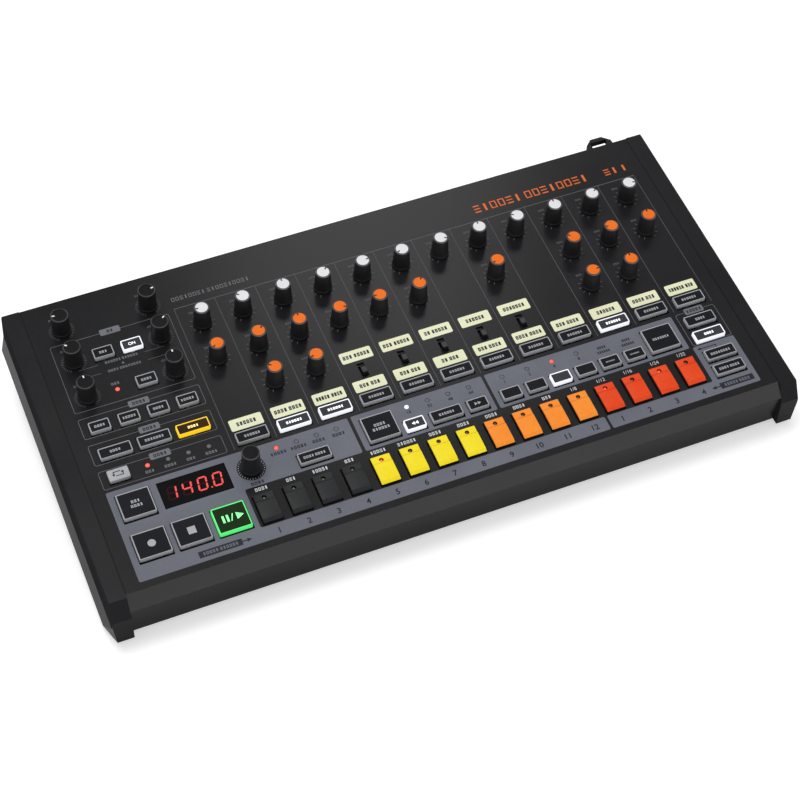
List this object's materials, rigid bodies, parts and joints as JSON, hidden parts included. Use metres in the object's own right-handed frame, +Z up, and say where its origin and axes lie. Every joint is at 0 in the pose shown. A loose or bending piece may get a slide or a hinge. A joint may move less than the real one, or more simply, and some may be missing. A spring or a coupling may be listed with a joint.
{
  "type": "drum machine",
  "caption": "Desktop drum machine with a sloping dark panel, rows of dials, lit push buttons, slide switches and coloured step keys between two moulded end cheeks.",
  "frame": {"origin": "centre of the bounding box in plan, at the level the feet stand on", "axes": "+X to the right as the player sees it, +Y to the rear sockets, +Z up"},
  "size_m": [0.498, 0.2652, 0.08],
  "materials": {
    "case_paint": "fine matt powder coat",
    "cheek_plastic": "fine grained moulding",
    "foot_rubber": "matt",
    "screw_steel": "blackened",
    "board": "green lacquered laminate",
    "brass_support": "plain",
    "pot_metal": "pressed shells",
    "black_plastic": "moulded",
    "lamp_lens": "clear tinted",
    "display_lens": "smoked window",
    "button_plastic": "pale grey frame round a dark lens",
    "black_key_plastic": "satin",
    "yellow_key_plastic": "satin",
    "orange_key_plastic": "satin",
    "red_key_plastic": "satin",
    "lever_plastic": "moulded",
    "knob_plastic": "soft satin black"
  },
  "bodies": {
    "case": {"top_panel": "case_paint", "bottom_pan": "case_paint", "rear_panel": "case_paint", "left_cheek": "cheek_plastic", "right_cheek": "cheek_plastic", "rubber_feet": "foot_rubber", "fasteners": "screw_steel", "control_board": "board", "main_board": "board", "board_supports": "brass_support", "potentiometers": "pot_metal", "key_switches": "black_plastic", "lamps": "lamp_lens", "display": "display_lens", "audio_jacks": "black_plastic", "data_sockets": "black_plastic", "cable_hook": "black_plastic", "switch_housings": "black_plastic"},
    "function_buttons": {"function_buttons": "button_plastic"},
    "select_buttons": {"select_buttons": "button_plastic"},
    "square_buttons": {"square_buttons": "button_plastic"},
    "black_keys": {"black_keys": "black_key_plastic"},
    "yellow_keys": {"yellow_keys": "yellow_key_plastic"},
    "orange_keys": {"orange_keys": "orange_key_plastic"},
    "red_keys": {"red_keys": "red_key_plastic"},
    "slide_levers": {"slide_levers": "lever_plastic"},
    "power_rocker": {"power_rocker": "black_plastic"},
    "data_knob": {"data_knob": "knob_plastic"},
    "black_knob_1": {"black_knob_1": "knob_plastic"},
    "black_knob_2": {"black_knob_2": "knob_plastic"},
    "black_knob_3": {"black_knob_3": "knob_plastic"},
    "black_knob_4": {"black_knob_4": "knob_plastic"},
    "black_knob_5": {"black_knob_5": "knob_plastic"},
    "black_knob_6": {"black_knob_6": "knob_plastic"},
    "level_knob_01": {"level_knob_01": "knob_plastic"},
    "level_knob_02": {"level_knob_02": "knob_plastic"},
    "level_knob_03": {"level_knob_03": "knob_plastic"},
    "level_knob_04": {"level_knob_04": "knob_plastic"},
    "level_knob_05": {"level_knob_05": "knob_plastic"},
    "level_knob_06": {"level_knob_06": "knob_plastic"},
    "level_knob_07": {"level_knob_07": "knob_plastic"},
    "level_knob_08": {"level_knob_08": "knob_plastic"},
    "level_knob_09": {"level_knob_09": "knob_plastic"},
    "level_knob_10": {"level_knob_10": "knob_plastic"},
    "level_knob_11": {"level_knob_11": "knob_plastic"},
    "level_knob_12": {"level_knob_12": "knob_plastic"},
    "tone_knob_01": {"tone_knob_01": "knob_plastic"},
    "tone_knob_02": {"tone_knob_02": "knob_plastic"},
    "tone_knob_03": {"tone_knob_03": "knob_plastic"},
    "tone_knob_04": {"tone_knob_04": "knob_plastic"},
    "tone_knob_05": {"tone_knob_05": "knob_plastic"},
    "tone_knob_06": {"tone_knob_06": "knob_plastic"},
    "tone_knob_07": {"tone_knob_07": "knob_plastic"},
    "tone_knob_08": {"tone_knob_08": "knob_plastic"},
    "tone_knob_09": {"tone_knob_09": "knob_plastic"},
    "tone_knob_10": {"tone_knob_10": "knob_plastic"},
    "decay_knob_01": {"decay_knob_01": "knob_plastic"},
    "decay_knob_02": {"decay_knob_02": "knob_plastic"},
    "decay_knob_03": {"decay_knob_03": "knob_plastic"},
    "decay_knob_04": {"decay_knob_04": "knob_plastic"}
  },
  "joints": [
    {"name": "function_buttons_press", "type": "slide", "parent": "case", "child": "function_buttons", "axis": [0, 0.0976, -0.9952], "range_m": [0, 0.0008], "stiffness_N_per_m": 7500, "springref_m": -0.0006},
    {"name": "select_buttons_press", "type": "slide", "parent": "case", "child": "select_buttons", "axis": [0, 0.0976, -0.9952], "range_m": [0, 0.0008], "stiffness_N_per_m": 3600, "springref_m": -0.0006},
    {"name": "square_buttons_press", "type": "slide", "parent": "case", "child": "square_buttons", "axis": [0, 0.0976, -0.9952], "range_m": [0, 0.0008], "stiffness_N_per_m": 1800, "springref_m": -0.0006},
    {"name": "black_keys_press", "type": "hinge", "parent": "case", "child": "black_keys", "pos_m": [-0.09695, -0.08439, 0.0409], "axis": [1, 0, 0], "range_deg": [0, 3], "stiffness_Nm_per_rad": 1.6, "springref_deg": -1.15},
    {"name": "yellow_keys_press", "type": "hinge", "parent": "case", "child": "yellow_keys", "pos_m": [-0.01523, -0.08439, 0.0409], "axis": [1, 0, 0], "range_deg": [0, 3], "stiffness_Nm_per_rad": 1.6, "springref_deg": -1.15},
    {"name": "orange_keys_press", "type": "hinge", "parent": "case", "child": "orange_keys", "pos_m": [0.0665, -0.08439, 0.0409], "axis": [1, 0, 0], "range_deg": [0, 3], "stiffness_Nm_per_rad": 1.6, "springref_deg": -1.15},
    {"name": "red_keys_press", "type": "hinge", "parent": "case", "child": "red_keys", "pos_m": [0.14823, -0.08439, 0.0409], "axis": [1, 0, 0], "range_deg": [0, 3], "stiffness_Nm_per_rad": 1.6, "springref_deg": -1.15},
    {"name": "slide_levers_slide", "type": "slide", "parent": "case", "child": "slide_levers", "axis": [0, 0.9952, 0.0976], "range_m": [0, 0.0034]},
    {"name": "power_rocker_tip", "type": "hinge", "parent": "case", "child": "power_rocker", "pos_m": [0.181, 0.10793, 0.024], "axis": [0, 0, 1], "range_deg": [0, 18]},
    {"name": "data_knob_turn", "type": "hinge", "parent": "case", "child": "data_knob", "pos_m": [-0.1272, -0.06444, 0.05572], "axis": [0, -0.0976, 0.9952], "continuous": true},
    {"name": "black_knob_1_turn", "type": "hinge", "parent": "case", "child": "black_knob_1", "pos_m": [-0.2098, 0.08579, 0.07045], "axis": [0, -0.0976, 0.9952], "range_deg": [-234, 66]},
    {"name": "black_knob_2_turn", "type": "hinge", "parent": "case", "child": "black_knob_2", "pos_m": [-0.1482, 0.08579, 0.07045], "axis": [0, -0.0976, 0.9952], "range_deg": [-68, 232]},
    {"name": "black_knob_3_turn", "type": "hinge", "parent": "case", "child": "black_knob_3", "pos_m": [-0.2098, 0.05757, 0.06768], "axis": [0, -0.0976, 0.9952], "range_deg": [-206, 94]},
    {"name": "black_knob_4_turn", "type": "hinge", "parent": "case", "child": "black_knob_4", "pos_m": [-0.1482, 0.05757, 0.06768], "axis": [0, -0.0976, 0.9952], "range_deg": [-95, 205]},
    {"name": "black_knob_5_turn", "type": "hinge", "parent": "case", "child": "black_knob_5", "pos_m": [-0.2098, 0.02702, 0.06469], "axis": [0, -0.0976, 0.9952], "range_deg": [-150, 150]},
    {"name": "black_knob_6_turn", "type": "hinge", "parent": "case", "child": "black_knob_6", "pos_m": [-0.1482, 0.02702, 0.06469], "axis": [0, -0.0976, 0.9952], "range_deg": [-150, 150]},
    {"name": "level_knob_01_turn", "type": "hinge", "parent": "case", "child": "level_knob_01", "pos_m": [-0.1179, 0.05877, 0.0678], "axis": [0, -0.0976, 0.9952], "range_deg": [-240, 60]},
    {"name": "level_knob_02_turn", "type": "hinge", "parent": "case", "child": "level_knob_02", "pos_m": [-0.0884, 0.05877, 0.0678], "axis": [0, -0.0976, 0.9952], "range_deg": [-206, 94]},
    {"name": "level_knob_03_turn", "type": "hinge", "parent": "case", "child": "level_knob_03", "pos_m": [-0.0589, 0.05877, 0.0678], "axis": [0, -0.0976, 0.9952], "range_deg": [-150, 150]},
    {"name": "level_knob_04_turn", "type": "hinge", "parent": "case", "child": "level_knob_04", "pos_m": [-0.02941, 0.05877, 0.0678], "axis": [0, -0.0976, 0.9952], "range_deg": [-100, 200]},
    {"name": "level_knob_05_turn", "type": "hinge", "parent": "case", "child": "level_knob_05", "pos_m": [0.00009, 0.05877, 0.0678], "axis": [0, -0.0976, 0.9952], "range_deg": [-62, 238]},
    {"name": "level_knob_06_turn", "type": "hinge", "parent": "case", "child": "level_knob_06", "pos_m": [0.02959, 0.05877, 0.0678], "axis": [0, -0.0976, 0.9952], "range_deg": [-265, 35]},
    {"name": "level_knob_07_turn", "type": "hinge", "parent": "case", "child": "level_knob_07", "pos_m": [0.05909, 0.05877, 0.0678], "axis": [0, -0.0976, 0.9952], "range_deg": [-34, 266]},
    {"name": "level_knob_08_turn", "type": "hinge", "parent": "case", "child": "level_knob_08", "pos_m": [0.08859, 0.05877, 0.0678], "axis": [0, -0.0976, 0.9952], "range_deg": [-150, 150]},
    {"name": "level_knob_09_turn", "type": "hinge", "parent": "case", "child": "level_knob_09", "pos_m": [0.11809, 0.05877, 0.0678], "axis": [0, -0.0976, 0.9952], "range_deg": [-216, 84]},
    {"name": "level_knob_10_turn", "type": "hinge", "parent": "case", "child": "level_knob_10", "pos_m": [0.14758, 0.05877, 0.0678], "axis": [0, -0.0976, 0.9952], "range_deg": [-150, 150]},
    {"name": "level_knob_11_turn", "type": "hinge", "parent": "case", "child": "level_knob_11", "pos_m": [0.17708, 0.05877, 0.0678], "axis": [0, -0.0976, 0.9952], "range_deg": [-93, 207]},
    {"name": "level_knob_12_turn", "type": "hinge", "parent": "case", "child": "level_knob_12", "pos_m": [0.20658, 0.05877, 0.0678], "axis": [0, -0.0976, 0.9952], "range_deg": [-45, 255]},
    {"name": "tone_knob_01_turn", "type": "hinge", "parent": "case", "child": "tone_knob_01", "pos_m": [-0.1179, 0.02702, 0.06469], "axis": [0, -0.0976, 0.9952], "range_deg": [-277, 23]},
    {"name": "tone_knob_02_turn", "type": "hinge", "parent": "case", "child": "tone_knob_02", "pos_m": [-0.0884, 0.02702, 0.06469], "axis": [0, -0.0976, 0.9952], "range_deg": [-96, 204]},
    {"name": "tone_knob_03_turn", "type": "hinge", "parent": "case", "child": "tone_knob_03", "pos_m": [-0.0589, 0.02702, 0.06469], "axis": [0, -0.0976, 0.9952], "range_deg": [-150, 150]},
    {"name": "tone_knob_04_turn", "type": "hinge", "parent": "case", "child": "tone_knob_04", "pos_m": [-0.02941, 0.02702, 0.06469], "axis": [0, -0.0976, 0.9952], "range_deg": [-35, 265]},
    {"name": "tone_knob_05_turn", "type": "hinge", "parent": "case", "child": "tone_knob_05", "pos_m": [0.00009, 0.02702, 0.06469], "axis": [0, -0.0976, 0.9952], "range_deg": [-240, 60]},
    {"name": "tone_knob_06_turn", "type": "hinge", "parent": "case", "child": "tone_knob_06", "pos_m": [0.02959, 0.02702, 0.06469], "axis": [0, -0.0976, 0.9952], "range_deg": [-113, 187]},
    {"name": "tone_knob_07_turn", "type": "hinge", "parent": "case", "child": "tone_knob_07", "pos_m": [0.08859, 0.02702, 0.06469], "axis": [0, -0.0976, 0.9952], "range_deg": [-266, 34]},
    {"name": "tone_knob_08_turn", "type": "hinge", "parent": "case", "child": "tone_knob_08", "pos_m": [0.14758, 0.02702, 0.06469], "axis": [0, -0.0976, 0.9952], "range_deg": [-205, 95]},
    {"name": "tone_knob_09_turn", "type": "hinge", "parent": "case", "child": "tone_knob_09", "pos_m": [0.17708, 0.02702, 0.06469], "axis": [0, -0.0976, 0.9952], "range_deg": [-238, 62]},
    {"name": "tone_knob_10_turn", "type": "hinge", "parent": "case", "child": "tone_knob_10", "pos_m": [0.20658, 0.02702, 0.06469], "axis": [0, -0.0976, 0.9952], "range_deg": [-150, 150]},
    {"name": "decay_knob_01_turn", "type": "hinge", "parent": "case", "child": "decay_knob_01", "pos_m": [-0.0884, -0.00473, 0.06157], "axis": [0, -0.0976, 0.9952], "range_deg": [-204, 96]},
    {"name": "decay_knob_02_turn", "type": "hinge", "parent": "case", "child": "decay_knob_02", "pos_m": [-0.0589, -0.00473, 0.06157], "axis": [0, -0.0976, 0.9952], "range_deg": [-262, 38]},
    {"name": "decay_knob_03_turn", "type": "hinge", "parent": "case", "child": "decay_knob_03", "pos_m": [0.14758, -0.00473, 0.06157], "axis": [0, -0.0976, 0.9952], "range_deg": [-62, 238]},
    {"name": "decay_knob_04_turn", "type": "hinge", "parent": "case", "child": "decay_knob_04", "pos_m": [0.17708, -0.00473, 0.06157], "axis": [0, -0.0976, 0.9952], "range_deg": [-150, 150]}
  ]
}
